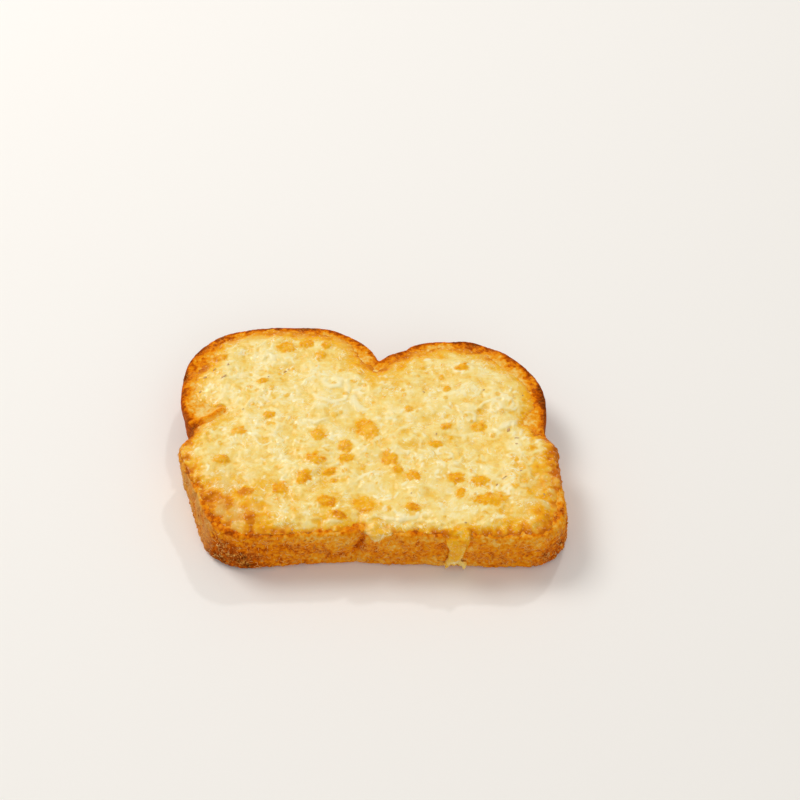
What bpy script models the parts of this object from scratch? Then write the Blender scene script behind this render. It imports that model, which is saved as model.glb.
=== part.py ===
"""Cheese garlic bread: one thick slice of a two-lobed pan loaf under a layer of melted cheese.

The slice lies flat on its underside. +X runs along its width, +Y points to the crown and +Z up
through the cheese. The origin is at the middle of the box round both pieces, on its underside.
Two solids are made: bread_slice, the toasted crumb with its crust, and melted_cheese, the skin that
lies on it, runs over the rim in places and hangs down the front crust as one drip.
"""

import math

import bmesh
import bpy
import numpy as np
from mathutils import Vector, noise

MM = 0.001

# Driving dimensions of the slice
SLICE_WIDTH = 122 * MM
CROWN_TOP = 46.4 * MM  # from the middle of the slice to the top of the taller lobe
BASE_DEPTH = 42.8 * MM  # from the middle of the slice to the bottom crust
BREAD_THICKNESS = 15.6 * MM
TOP_ROUND = 1.0 * MM  # radius where the cut face turns into the crust
BASE_ROUND = 1.4 * MM

# The loaf's outline is the union of two crown lobes and the part that stood in the pan
LEFT_LOBE_WIDTH = 0.54 * SLICE_WIDTH
LEFT_LOBE_HEIGHT = 57 * MM
LEFT_LOBE_SQUARENESS = (2.6, 2.2)  # superellipse exponents above and below its middle
RIGHT_LOBE_WIDTH = 0.516 * SLICE_WIDTH
RIGHT_LOBE_HEIGHT = 58.5 * MM
RIGHT_LOBE_SQUARENESS = (2.0, 2.0)
RIGHT_LOBE_DROP = 6.6 * MM  # how far the right lobe stays below the left one
LOBE_SPACING = 55 * MM
PAN_TOP = -0.3 * MM  # height at which the crown spreads over the pan's rim
PAN_TOP_TILT = 0.03
PAN_LEFT = (-63 * MM, -43.5 * MM)  # left side at the pan's rim and at the base
PAN_RIGHT = (59.2 * MM, 61.6 * MM)
PAN_CORNERS = (12 * MM, 9 * MM, 13 * MM)  # radius at the rim, the left foot and the right foot
PINCH_BLEND = 4 * MM  # softens the inner corners where crown and pan part meet
BASE_ARCH = 1.6 * MM  # the bottom crust draws in at its middle
CROWN_STEP_ANGLE = 69.2  # degrees: from here to the cleft a fold of the right lobe lies lower
CROWN_STEP = 1.5 * MM
RIM_WAVE = 0.35 * MM  # random waver of the outline
# The crust spreads towards its foot: (direction in degrees, half width in degrees, spread)
FOOT_SPREADS = ((-145, 15, 2.6 * MM), (-22, 14, 1.8 * MM))

# Crack down the bottom crust
CRACK_ANGLE = -92.5
CRACK_DEPTH = 1.9 * MM
CRACK_WIDTH = 1.4 * MM
CRACK_LEAN = 3.2 * MM  # sideways run between its top and its foot
CRUST_RELIEF = 0.28 * MM

# Melted cheese
CHEESE_GAP = 0.4 * MM
CHEESE_THICKNESS = 1.25 * MM
CHEESE_LUMPS = 1.0 * MM
LUMP_SPACING = 11 * MM
LIP_THICKNESS = 0.55 * MM
LIP_ROUND = 4.5 * MM  # the layer thins over this distance towards its border
CROWN_MARGIN = 2.5 * MM  # bare toasted rim along the crown
PAN_MARGIN = 0.6 * MM
FLOOR_CLEARANCE = 0.9 * MM

# Where the border of the cheese leaves those margins: (what it is, direction from the middle in
# degrees, half width in degrees, extra bare rim in metres). A minus runs over the edge instead.
BORDER_FEATURES = (
    ("fold of crust beside the left lobe", 171.5, 3.1, 10 * MM),
    ("browned patch on the left shoulder", 152, 6, 2.2 * MM),
    ("cheese up to the rim", 126.5, 4.5, -1.8 * MM),
    ("pocket beside the cleft", 92, 5, 5.5 * MM),
    ("bare ground under the cleft", 80, 6, 2 * MM),
    ("scorched right lobe", 30, 18, 2.2 * MM),
    ("step at the right shoulder", 3.5, 3.2, 3.5 * MM),
    ("lump over the right edge", -8.5, 4.5, -3 * MM),
    ("second lump over the right edge", -18, 3.5, -1.4 * MM),
    ("dry right rim", -29, 5.5, 1.9 * MM),
    ("tongue beside the crack", -85, 3.2, -2.6 * MM),
    ("notch at the crack", -93, 2.6, 3.4 * MM),
    ("dry lower left corner", -140, 9, 1.2 * MM),
    ("lump over the left edge", -166, 4.5, -1.4 * MM),
)

# The drip hangs down the front crust
DRIP_ANGLE = -56.8
DRIP_HALF_WIDTH = 2.7  # degrees
DRIP_THICKNESS = 1.5 * MM

SEGMENTS = 144  # points round the outline
FACE_STEP_WEIGHT = 0.35  # rows of points lie this much closer on the rounded edge
WALL_STEP_WEIGHT = 0.25
INNER_CALM = 60  # averaging passes that keep the rim's shape out of the middle of the grid
GRID_RINGS = SEGMENTS // 8  # square rings of the cheese's even grid
NOISE_SHIFT = Vector((3.7, 1.9, 8.3))

CRUST_COLOUR = (0.46, 0.13, 0.015, 1)
CHEESE_COLOUR = (0.90, 0.66, 0.24, 1)


def clear_scene():
    for item in list(bpy.data.objects):
        bpy.data.objects.remove(item, do_unlink=True)


def food_material(name, colour, roughness):
    material = bpy.data.materials.new(name)
    material.use_nodes = True
    shader = material.node_tree.nodes["Principled BSDF"]
    shader.inputs["Base Color"].default_value = colour
    shader.inputs["Roughness"].default_value = roughness
    shader.inputs["Metallic"].default_value = 0
    return material


# The outline


def angle_gap(angles, centre):
    """Signed difference in degrees, between -180 and 180."""
    return (angles - centre + 180) % 360 - 180


def bump(angles, centre, half_width):
    return np.exp(-((angle_gap(angles, centre) / half_width) ** 2))


def smooth_union(first, second, blend):
    """The smaller of two distances, rounded where they meet."""
    mix = np.clip(0.5 + 0.5 * (second - first) / blend, 0, 1)
    return second + (first - second) * mix - blend * mix * (1 - mix)


def lobe_distance(x, y, centre, width, height, squareness):
    """Roughly the distance to a superellipse, negative inside."""
    power = np.where(y > centre[1], *squareness)
    across = np.abs((x - centre[0]) / (width / 2)) ** power
    up = np.abs((y - centre[1]) / (height / 2)) ** power
    return ((across + up) ** (1 / power) - 1) * min(width, height) / 2


def pan_distance(x, y):
    """Distance to the slanted box with round corners that stood in the pan."""
    top = PAN_TOP + PAN_TOP_TILT * x
    fall = np.clip((top - y) / (top + BASE_DEPTH), 0, 1)
    left = PAN_LEFT[0] + (PAN_LEFT[1] - PAN_LEFT[0]) * fall
    right = PAN_RIGHT[0] + (PAN_RIGHT[1] - PAN_RIGHT[0]) * fall
    arch = BASE_ARCH * np.exp(-((x / (SLICE_WIDTH / 5)) ** 2))
    corner = np.where(x < 0, PAN_CORNERS[1], PAN_CORNERS[2])
    corner = np.where(fall < 0.5, PAN_CORNERS[0], corner)
    across = np.maximum(left - x, x - right) + corner
    up = np.maximum(-BASE_DEPTH + arch - y, y - top) + corner
    outside = np.hypot(np.maximum(across, 0), np.maximum(up, 0))
    return outside + np.minimum(np.maximum(across, up), 0) - corner


def loaf_distance(x, y):
    left_centre = (
        -SLICE_WIDTH / 2 + LEFT_LOBE_WIDTH / 2,
        CROWN_TOP - LEFT_LOBE_HEIGHT / 2,
    )
    right_centre = (
        left_centre[0] + LOBE_SPACING,
        CROWN_TOP - RIGHT_LOBE_DROP - RIGHT_LOBE_HEIGHT / 2,
    )
    left = lobe_distance(
        x, y, left_centre, LEFT_LOBE_WIDTH, LEFT_LOBE_HEIGHT, LEFT_LOBE_SQUARENESS
    )
    right = lobe_distance(
        x, y, right_centre, RIGHT_LOBE_WIDTH, RIGHT_LOBE_HEIGHT, RIGHT_LOBE_SQUARENESS
    )
    crown = np.minimum(left, right)
    return smooth_union(crown, pan_distance(x, y), PINCH_BLEND)


def outline_angles():
    """Directions round the slice in degrees, closer together at the cleft, the crack and the drip."""
    fine = np.linspace(-180, 180, 7201)
    density = 1 + sum(
        gain * bump(fine, centre, width)
        for centre, width, gain in (
            (84, 6, 1.6),
            (CROWN_STEP_ANGLE, 3, 1),
            (172, 5, 0.8),
            (CRACK_ANGLE, 5, 1.8),
            (DRIP_ANGLE, 6, 2.6),
            (0, 8, 0.5),
        )
    )
    share = np.concatenate([[0], np.cumsum((density[1:] + density[:-1]) / 2)])
    steps = np.arange(SEGMENTS) / SEGMENTS * share[-1]
    return np.interp(steps, share, fine)


def outline_points(angles):
    """The outline in plan, found along each direction from the middle of the slice."""
    reach = np.linspace(0.02, 0.085, 2601)
    turn = np.radians(angles)[:, None]
    inside = loaf_distance(reach * np.cos(turn), reach * np.sin(turn)) < 0
    last = reach[len(reach) - 1 - np.argmax(inside[:, ::-1], axis=1)]
    past_step = angle_gap(angles, CROWN_STEP_ANGLE)
    step = CROWN_STEP * (past_step > 0) * np.clip(1 - past_step / 9, 0, 1)
    wave = [
        RIM_WAVE * noise.noise(Vector((3 * math.cos(a), 3 * math.sin(a), 0)) + NOISE_SHIFT)
        for a in turn[:, 0]
    ]
    last = last - step + np.array(wave)
    return np.stack([last * np.cos(turn[:, 0]), last * np.sin(turn[:, 0])], axis=1)


def outline_normals(points):
    along = np.roll(points, -1, axis=0) - np.roll(points, 1, axis=0)
    outward = np.stack([along[:, 1], -along[:, 0]], axis=1)
    return outward / np.linalg.norm(outward, axis=1, keepdims=True)


# The skin of the bread: positions along a path that runs out over the cut face, round the edge and
# down the crust. run is 0 where the edge starts to round, so it is negative on the cut face.


def crust_relief(angles, heights):
    """How far the crust stands in or out, with the spread of its foot and the crack down it."""
    relief = np.array(
        [
            CRUST_RELIEF
            * noise.noise(
                Vector((9 * math.cos(a), 9 * math.sin(a), z / (5 * MM))) + NOISE_SHIFT
            )
            for a, z in zip(np.radians(angles), heights)
        ]
    )
    fall = 1 - heights / BREAD_THICKNESS
    sideways = np.radians(angle_gap(angles, CRACK_ANGLE)) * BASE_DEPTH
    from_crack = sideways + CRACK_LEAN * (fall - 0.3)
    depth = CRACK_DEPTH * np.clip(1.25 - fall, 0, 1)
    for centre, half_width, spread in FOOT_SPREADS:
        relief = relief + spread * fall * bump(angles, centre, half_width)
    return relief - depth * np.exp(-((from_crack / CRACK_WIDTH) ** 2))


def skin(angles, run, lift, top=True):
    """Points at those runs, lift metres off the bread. top is the cheese side, else the underside."""
    rounding = TOP_ROUND if top else BASE_ROUND
    edge = outline_points(angles)
    outward = outline_normals(edge)
    quarter = rounding * math.pi / 2
    turn = np.clip(run, 0, quarter) / rounding
    down = np.clip(run - quarter, 0, None)
    flat = np.clip(run, None, 0)
    start = edge - outward * rounding
    distance = np.linalg.norm(start, axis=1)
    plan = start * ((distance + flat) / distance)[:, None]
    depth = rounding * (1 - np.cos(turn)) + down
    height = BREAD_THICKNESS - depth if top else depth
    relief = crust_relief(angles, height) * np.sin(turn)
    plan = plan + outward * (rounding * np.sin(turn) + relief + lift * np.sin(turn))[:, None]
    height = height + (lift * np.cos(turn) if top else 0)
    return np.column_stack([plan, np.broadcast_to(height, len(angles))])


def flat_run(angles):
    """Length of the path over the cut face, from the middle to where the edge starts to round."""
    edge = outline_points(angles)
    return np.linalg.norm(edge - outline_normals(edge) * TOP_ROUND, axis=1)


# Meshes built as rings of points


def loft(name, rings, first_pole, last_pole, collection, material):
    """A closed object through rings of equal length, with a fan on the pole at each end."""
    mesh = bpy.data.meshes.new(name)
    cage = bmesh.new()
    rows = [[cage.verts.new(point) for point in ring] for ring in rings]
    count = len(rows[0])
    for upper, lower in zip(rows, rows[1:]):
        for k in range(count):
            after = (k + 1) % count
            cage.faces.new((upper[k], lower[k], lower[after], upper[after]))
    for row, pole in ((rows[0], first_pole), (rows[-1], last_pole)):
        if pole is not None:
            tip = cage.verts.new(pole)
            for k in range(count):
                cage.faces.new((tip, row[k], row[(k + 1) % count]))
    bmesh.ops.recalc_face_normals(cage, faces=cage.faces)
    return finish_mesh(name, mesh, cage, collection, material)


def finish_mesh(name, mesh, cage, collection, material):
    cage.to_mesh(mesh)
    cage.free()
    mesh.shade_smooth()
    mesh.set_sharp_from_angle(angle=math.radians(50))
    mesh.materials.append(material)
    piece = bpy.data.objects.new(name, mesh)
    collection.objects.link(piece)
    return piece


def bread_slice(angles, collection):
    """The slice: cut face, rounded edge, crust wall, lower edge and flat underside."""
    top_quarter = TOP_ROUND * math.pi / 2
    base_quarter = BASE_ROUND * math.pi / 2
    wall = BREAD_THICKNESS - TOP_ROUND - BASE_ROUND
    face = flat_run(angles)
    rings = [skin(angles, -face * share, 0) for share in (0.62, 0.2)]
    rings += [skin(angles, np.full(len(angles), run), 0) for run in np.linspace(0, top_quarter, 4)]
    rings += [
        skin(angles, np.full(len(angles), top_quarter + wall * share), 0)
        for share in (0.25, 0.5, 0.75)
    ]
    rings += [
        skin(angles, np.full(len(angles), run), 0, top=False)
        for run in np.linspace(base_quarter, 0, 3)
    ]
    rings += [skin(angles, -face * 0.4, 0, top=False)]
    crust = food_material("toasted_bread", CRUST_COLOUR, 0.85)
    return loft(
        "bread_slice", rings, (0, 0, BREAD_THICKNESS), (0, 0, 0), collection, crust
    )


def cheese_border(angles):
    """Path run at which the cheese ends, for each direction."""
    crown = 0.5 + 0.5 * np.tanh((np.abs(angle_gap(angles, 86)) - 90) / 3)
    margin = CROWN_MARGIN + (PAN_MARGIN - CROWN_MARGIN) * crown
    for _, centre, half_width, extra in BORDER_FEATURES:
        margin = margin + extra * bump(angles, centre, half_width)
    quarter = TOP_ROUND * math.pi / 2
    run = np.where(margin > 0, quarter * 0.55 - margin, quarter * 0.55 - margin * 1.4)
    lowest = quarter + BREAD_THICKNESS - TOP_ROUND - FLOOR_CLEARANCE
    drip = np.exp(-np.abs(angle_gap(angles, DRIP_ANGLE) / DRIP_HALF_WIDTH) ** 3)
    return run + (lowest - run) * drip


def cheese_thickness(points, border_distance, angles, run):
    """Lumpy in the middle, thin at the lip, and thicker in the drip."""
    lumps = np.array(
        [
            noise.fractal(
                Vector((x, y, z)) / LUMP_SPACING + NOISE_SHIFT, 0.7, 2.0, 2,
                noise_basis="PERLIN_ORIGINAL",
            )
            for x, y, z in points
        ]
    )
    full = CHEESE_THICKNESS + CHEESE_LUMPS * lumps
    hanging = np.clip(run / TOP_ROUND, 0, 1) * bump(angles, DRIP_ANGLE, 2 * DRIP_HALF_WIDTH)
    full = full + (DRIP_THICKNESS - full) * hanging
    swell = 1 - (1 - np.clip(border_distance / LIP_ROUND, 0, 1)) ** 2
    return LIP_THICKNESS + (np.maximum(full, LIP_THICKNESS) - LIP_THICKNESS) * swell


def cheese_row(angles, run, border, outside=True):
    """One ring of the cheese, on its outside or against the bread."""
    gap = CHEESE_GAP * (1 + np.clip(run / TOP_ROUND, 0, 1))
    points = skin(angles, run, gap)
    if not outside:
        return points
    return skin(angles, run, gap + cheese_thickness(points, border - run, angles, run))


def run_at(share, inner, border):
    """Run at that share of the way to the border, with the steps kept short on the rounded edge."""
    quarter = TOP_ROUND * math.pi / 2

    def weight(run):
        return (
            FACE_STEP_WEIGHT * np.minimum(run, 0)
            + np.clip(run, 0, quarter)
            + WALL_STEP_WEIGHT * np.maximum(run - quarter, 0)
        )

    target = weight(inner) + (weight(border) - weight(inner)) * share
    return (
        np.minimum(target, 0) / FACE_STEP_WEIGHT
        + np.clip(target, 0, quarter)
        + np.maximum(target - quarter, 0) / WALL_STEP_WEIGHT
    )


def smoothed(values, passes):
    """Values round the outline averaged with their neighbours that many times."""
    for _ in range(passes):
        values = (np.roll(values, 1) + 2 * values + np.roll(values, -1)) / 4
    return values


def melted_cheese(angles, collection):
    """A skin on the bread: an even grid over the middle, then rings out to its border and back below."""
    border = cheese_border(angles)
    face = flat_run(angles)
    inner = np.minimum(border, 0) - LIP_ROUND
    edge = face + inner
    calm = smoothed(edge, INNER_CALM)
    cage = bmesh.new()
    rows = []
    round_trip = np.append(angles, angles[0] + 360)
    for ring in range(GRID_RINGS + 1):
        count = max(8 * ring, 1)
        share = ring / GRID_RINGS
        place = np.arange(count) * SEGMENTS / count
        turn = np.interp(place, np.arange(SEGMENTS + 1), round_trip)
        reach = calm * share + (edge - calm) * share**2
        length = np.interp(turn, round_trip, np.append(reach, reach[0]))
        points = np.column_stack(
            [
                length * np.cos(np.radians(turn)),
                length * np.sin(np.radians(turn)),
                np.full(count, BREAD_THICKNESS + CHEESE_GAP),
            ]
        )
        inside = np.full(count, LIP_ROUND * (2 - share))
        points[:, 2] += cheese_thickness(points, inside, turn, -inside)
        rows.append([cage.verts.new(point) for point in points])
    fill_square_rings(cage, rows)
    rims = [
        cheese_row(angles, run_at(share, inner, border), border)
        for share in (0.25, 0.5, 0.72, 0.88, 1.0)
    ]
    rims += [
        cheese_row(angles, run_at(share, inner, border), border, outside=False)
        for share in (1.0, 0.8, 0.6, 0.4, 0.2)
    ]
    rims.append(cheese_row(angles, -face * 0.5, border, outside=False))
    outer = rows[-1]
    for rim in rims:
        row = [cage.verts.new(point) for point in rim]
        for k in range(SEGMENTS):
            after = (k + 1) % SEGMENTS
            cage.faces.new((outer[k], row[k], row[after], outer[after]))
        outer = row
    tip = cage.verts.new((0, 0, BREAD_THICKNESS + CHEESE_GAP))
    for k in range(SEGMENTS):
        cage.faces.new((tip, outer[k], outer[(k + 1) % SEGMENTS]))
    bmesh.ops.recalc_face_normals(cage, faces=cage.faces)
    mesh = bpy.data.meshes.new("melted_cheese")
    cheese = food_material("melted_cheese", CHEESE_COLOUR, 0.45)
    return finish_mesh("melted_cheese", mesh, cage, collection, cheese)


def fill_square_rings(cage, rows):
    """Joins rings of 1, 8, 16, 24 ... points as the squares of an even grid."""
    for ring in range(1, len(rows)):
        inner, outer = rows[ring - 1], rows[ring]
        side = 2 * ring
        for k in range(len(outer)):
            quarter, step = divmod(k, side)
            # an inner side has two points fewer; the outer corners share its end points
            low = (quarter * (side - 2) + step - 1) % max(len(inner), 1)
            high = (quarter * (side - 2) + step) % max(len(inner), 1)
            a, b = outer[k], outer[(k + 1) % len(outer)]
            if step == 0:
                corner = inner[(quarter * (side - 2)) % len(inner)]
                before = outer[k - 1]
                cage.faces.new((before, a, b, corner))
            elif step < side - 1:
                cage.faces.new((a, b, inner[high], inner[low]))


def centre_on_origin(pieces):
    """Stands the pieces on z = 0 with the box round them centred on the origin."""
    corners = np.array([v.co for piece in pieces for v in piece.data.vertices])
    low, high = corners.min(axis=0), corners.max(axis=0)
    middle = Vector((*((low[:2] + high[:2]) / 2), low[2]))
    holder = bpy.data.objects.new("garlic_bread_origin", None)
    pieces[0].users_collection[0].objects.link(holder)
    for piece in pieces:
        piece.parent = holder
        piece.location = -middle


def build():
    clear_scene()
    collection = bpy.data.collections.new("garlic_bread")
    bpy.context.scene.collection.children.link(collection)
    angles = outline_angles()
    pieces = [bread_slice(angles, collection), melted_cheese(angles, collection)]
    centre_on_origin(pieces)


build()
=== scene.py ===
# %% [markdown]
# # A slice of cheese garlic bread
# The real thing is a thick slice of white pan loaf, spread with garlic butter, covered with grated
# cheese and grilled until the cheese runs together, blisters and browns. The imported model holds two
# plain solids, the bread and the cheese on it. Here both get the fine relief and the colours that
# heat gives them. Everything is worked out by rules from sizes in millimetres, so each step can be
# changed and run again.

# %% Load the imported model
import math

import bmesh
import bpy
import numpy as np
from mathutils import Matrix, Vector
from mathutils.bvhtree import BVHTree
from mathutils.kdtree import KDTree


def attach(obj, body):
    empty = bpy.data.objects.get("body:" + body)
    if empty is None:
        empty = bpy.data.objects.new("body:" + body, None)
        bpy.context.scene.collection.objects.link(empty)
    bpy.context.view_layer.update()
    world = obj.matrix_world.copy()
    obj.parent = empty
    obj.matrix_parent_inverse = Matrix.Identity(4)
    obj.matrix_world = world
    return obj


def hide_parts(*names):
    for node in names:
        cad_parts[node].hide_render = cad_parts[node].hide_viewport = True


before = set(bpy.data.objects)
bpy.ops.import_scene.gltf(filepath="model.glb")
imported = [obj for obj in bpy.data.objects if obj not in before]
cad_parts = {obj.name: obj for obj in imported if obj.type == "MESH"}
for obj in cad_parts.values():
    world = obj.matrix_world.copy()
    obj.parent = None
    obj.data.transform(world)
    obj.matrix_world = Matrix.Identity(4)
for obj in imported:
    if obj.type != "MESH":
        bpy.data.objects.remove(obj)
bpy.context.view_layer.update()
MM = 0.001

# %% [markdown]
# ## The camera
# Food on a plate is usually seen from the height of a seated or a standing eye. Here the camera looks
# down by 48 degrees. A longer lens keeps the slice's far side from shrinking. The slice is put below
# the middle of the frame by where the camera stands, not by shifting the lens.

# %% Camera
CAMERA_AT = (10.12, -261.87, 319.4)  # mm
CAMERA_PITCH = 42  # degrees up from straight down
CAMERA_LENS = 56.7  # mm on the standard 36 mm sensor

camera = bpy.data.objects.new("camera", bpy.data.cameras.new("camera"))
bpy.context.scene.collection.objects.link(camera)
camera.location = Vector(CAMERA_AT) * MM
camera.rotation_euler = (math.radians(CAMERA_PITCH), 0, 0)
camera.data.lens = CAMERA_LENS
camera.data.clip_start = 10 * MM
bpy.context.scene.camera = camera
print("camera distance to the slice, mm:", round(camera.location.length / MM))

# %% [markdown]
# ## Noise to shape with
# Baked food has no straight lines and no repeats. Gradient noise gives smooth random hills of a
# chosen width. Blender has it as a texture, but here it must move points and also mark where the
# cheese browns, so it is computed for all points at once with numpy. Each use has its own seed,
# which keeps the slice the same on every run.

# %% Gradient noise
rng = np.random.default_rng(20)
GRADIENTS = rng.normal(size=(256, 3))
GRADIENTS /= np.linalg.norm(GRADIENTS, axis=1, keepdims=True)
SEED_STEP = 31.7  # cells from one seed's noise to the next one's
MIXERS = np.array([73856093, 19349663, 83492791])  # large primes, one per axis
SCRAMBLER = 1274126177
GAIN = 1.6  # brings gradient noise up to about 1


def ripple(points, width, seed, octaves=1):
    """Noise from about -1 to 1 at points in mm, with hills about that wide."""
    total = np.zeros(len(points))
    for octave in range(octaves):
        place = points / width * 2**octave + SEED_STEP * (seed + octave)
        cell = np.floor(place).astype(np.int64)
        part = place - cell
        ease = part**3 * (part * (6 * part - 15) + 10)
        for corner in np.ndindex(2, 2, 2):
            spot = cell + corner
            key = np.bitwise_xor.reduce(spot * MIXERS, axis=1)
            key = (key ^ (key >> 13)) * SCRAMBLER
            key = (key ^ (key >> 16)) & 255
            weight = np.prod(np.where(corner, ease, 1 - ease), axis=1)
            rise = np.einsum("ij,ij->i", part - corner, GRADIENTS[key])
            total += GAIN * 0.5**octave * weight * rise
    return total


def ramp(values, start, end):
    """0 at start, 1 at end and smooth between them. It may run downwards."""
    share = np.clip((values - start) / (end - start), 0, 1)
    return share * share * (3 - 2 * share)


def mean_of(values):
    return round(float(values.mean()), 2)


test = ripple(rng.uniform(0, 50, (2000, 3)), 5, 1)
print("noise runs from", round(test.min(), 2), "to", round(test.max(), 2))

# %% [markdown]
# ## From plain solids to fine meshes
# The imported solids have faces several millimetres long, too coarse to carry crumbs and shreds. A
# subdivision surface would make more faces but keep their long thin shapes. A voxel remesh cuts the
# solid into even squares of one chosen size, and it also melts overlapping shapes into one, which is
# just what cheese does.

# %% Mesh helpers
FACE_MIDDLE = np.array([-0.61, -0.8, 0.0])  # mm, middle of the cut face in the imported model
JOINED_WITHIN = 0.002  # mm


def points_of(mesh):
    """The mesh's points in mm, measured from the middle of the cut face."""
    flat = np.empty(len(mesh.vertices) * 3)
    mesh.vertices.foreach_get("co", flat)
    return flat.reshape(-1, 3) / MM - FACE_MIDDLE


def move_points(mesh, points):
    mesh.vertices.foreach_set("co", ((points + FACE_MIDDLE) * MM).ravel())
    mesh.update()


def normals_of(mesh):
    flat = np.empty(len(mesh.vertices) * 3, np.float32)
    mesh.vertex_normals.foreach_get("vector", flat)
    return flat.reshape(-1, 3).astype(float)


def new_piece(name, mesh):
    piece = bpy.data.objects.new(name, mesh)
    bpy.context.scene.collection.objects.link(piece)
    return piece


def remeshed(name, cage, voxel):
    """A copy of the closed bmesh, cut into squares voxel mm wide, as a new piece."""
    mesh = bpy.data.meshes.new(name)
    cage.to_mesh(mesh)
    cage.free()
    rough = new_piece(name + "_rough", mesh)
    modifier = rough.modifiers.new("even squares", "REMESH")
    modifier.mode = "VOXEL"
    modifier.voxel_size = voxel * MM
    evaluated = rough.evaluated_get(bpy.context.evaluated_depsgraph_get())
    fine = bpy.data.meshes.new_from_object(evaluated)
    bpy.data.objects.remove(rough)
    fine.name = name
    return new_piece(name, fine)


def relaxed(mesh, points, passes):
    """The points drawn half way to their neighbours' average, to take off the voxels' steps."""
    ends = np.empty(len(mesh.edges) * 2, np.int64)
    mesh.edges.foreach_get("vertices", ends)
    ends = ends.reshape(-1, 2)
    both = np.concatenate([ends, ends[:, ::-1]])
    count = np.bincount(both[:, 0], minlength=len(points))[:, None]
    for _ in range(passes):
        total = np.stack(
            [np.bincount(both[:, 0], points[both[:, 1], k], len(points)) for k in range(3)], 1
        )
        points = 0.5 * points + 0.5 * total / count
    return points


def store(mesh, name, values):
    """Keeps one number per point, which the material reads by this name."""
    layer = mesh.attributes.new(name, "FLOAT", "POINT")
    layer.data.foreach_set("value", np.clip(values, 0, 1).astype(np.float32))


def cage_of(mesh):
    cage = bmesh.new()
    cage.from_mesh(mesh)
    return cage


def packed_cage(node):
    """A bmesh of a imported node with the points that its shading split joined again."""
    cage = cage_of(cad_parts[node].data)
    bmesh.ops.remove_doubles(cage, verts=cage.verts, dist=JOINED_WITHIN * MM)
    return cage


# %% [markdown]
# ## The bread
# The slice is 15.6 mm of white crumb with a crust. Its crown rose freely and baked to a thin, smooth,
# dark skin. The rest stood against the pan's wall, and after toasting it is orange-brown and fuzzy
# with torn crumb. The pan side has a crack from the oven's heat. One mesh carries both, because on a
# real slice crumb and crust are one piece. The squares are half a millimetre, about one crumb cell.

# %% Fine bread mesh
BREAD_VOXEL = 0.54  # mm
cage = packed_cage("bread_slice")
bread_surface = BVHTree.FromBMesh(cage)
bread = remeshed("bread", cage, BREAD_VOXEL)
bread_points = relaxed(bread.data, points_of(bread.data), 2)
move_points(bread.data, bread_points)
bread_normals = normals_of(bread.data)
BREAD_TOP = bread_points[:, 2].max()
print("bread:", len(bread.data.polygons), "squares, top at", round(BREAD_TOP, 2), "mm")

# %% [markdown]
# Where a point lies decides how it looks. Three measures are used on the bread: whether it is on the
# side or on a face, whether it belongs to the crown or to the pan part, and how far in from the
# slice's edge it lies. The last one comes from a search tree over the points of the wall. Noise is
# added where crown and pan part meet, as no loaf changes along a straight line.

# %% Measures on the bread
WALL_BELOW = 0.35  # the upward part of a wall's normals
wall = np.abs(bread_normals[:, 2]) < WALL_BELOW


def tree_of(places):
    """A search tree over places (x, y, z)."""
    tree = KDTree(len(places))
    for index, place in enumerate(places):
        tree.insert(place, index)
    tree.balance()
    return tree


edge_tree = tree_of(bread_points[wall] * (1, 1, 0))


def from_edge(points):
    """Distance in plan from the slice's outer edge, in mm."""
    return np.array([edge_tree.find((x, y, 0))[2] for x, y, _ in points])


bread_in = from_edge(bread_points)
bread_side = 1 - ramp(np.abs(bread_normals[:, 2]), 0.45, 0.9)
bread_top = ramp(bread_normals[:, 2], 0.3, 0.8)
CROWN_BLEND, CROWN_RAGGED = 4.5, 3  # mm
crown_noise = CROWN_RAGGED * ripple(bread_points, 4, 15, 2)
above_pan = bread_points[:, 1] + 2 - 0.03 * bread_points[:, 0] + crown_noise
bread_crown = ramp(above_pan, -CROWN_BLEND, CROWN_BLEND)
print("points on the wall:", int(wall.sum()))

# %% [markdown]
# Crumb is a foam. Cut and toasted, it shows pits of half a millimetre to two, and thin walls between
# them that dry to pale fibres. Ridged noise, one minus the size of plain noise, draws such a net of
# thin ridges. The crown's skin stays nearly smooth.

# %% Crumb relief
NET, FINE_NET, PIT, SWELL = 2.2, 1.3, 2.6, 9  # widths in mm
net = 1 - np.abs(ripple(bread_points, NET, 3)) * 2.2
fine_net = 1 - np.abs(ripple(bread_points, FINE_NET, 4)) * 2
pits = ramp(ripple(bread_points, PIT, 5, 2), 0.28, 0.62)
swell = ripple(bread_points, SWELL, 6)
rough = 1 - 0.75 * bread_crown * bread_side - 0.45 * bread_top
# the factors are heights in mm
bread_lift = rough * (0.24 * net + 0.18 * fine_net - 0.45 * pits - 0.12) + 0.3 * swell
print("share of the bread in pits:", mean_of(pits > 0.5))

# %% [markdown]
# The crack in the pan side starts at the top edge and runs down to the left. It is drawn as a narrow
# groove whose middle is a curve of how far down the side a point lies. The crust beside it stands
# proud as a lip, because the loaf was pushed open there. At the left pinch a fold of crust lies on
# the cut face as a smooth ridge.

# %% Crack and fold
# middle line of the fold, (x, y) in mm
FOLD = ((-59.5, 1.2), (-55, 2.4), (-50.5, 4.4), (-46.6, 7.8))
FOLD_HALF_WIDTH, FOLD_HEIGHT = 1.3, 1.1  # mm
CRACK_HALF_WIDTH, CRACK_DEPTH = 0.55, 1.3  # mm
LIP_AT, LIP_HALF_WIDTH, LIP_HEIGHT = 2.4, 1.6, 0.6  # mm, at the right of the crack


def from_bar(points, start, end):
    """Distance in plan from the straight line between two places, in mm."""
    start, end = np.array(start, float), np.array(end, float)
    along = end - start
    share = np.clip((points[:, :2] - start) @ along / (along @ along), 0, 1)
    return np.linalg.norm(points[:, :2] - start - share[:, None] * along, axis=1)


fall = np.clip(1 - bread_points[:, 2] / BREAD_TOP, 0, 1)
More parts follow.
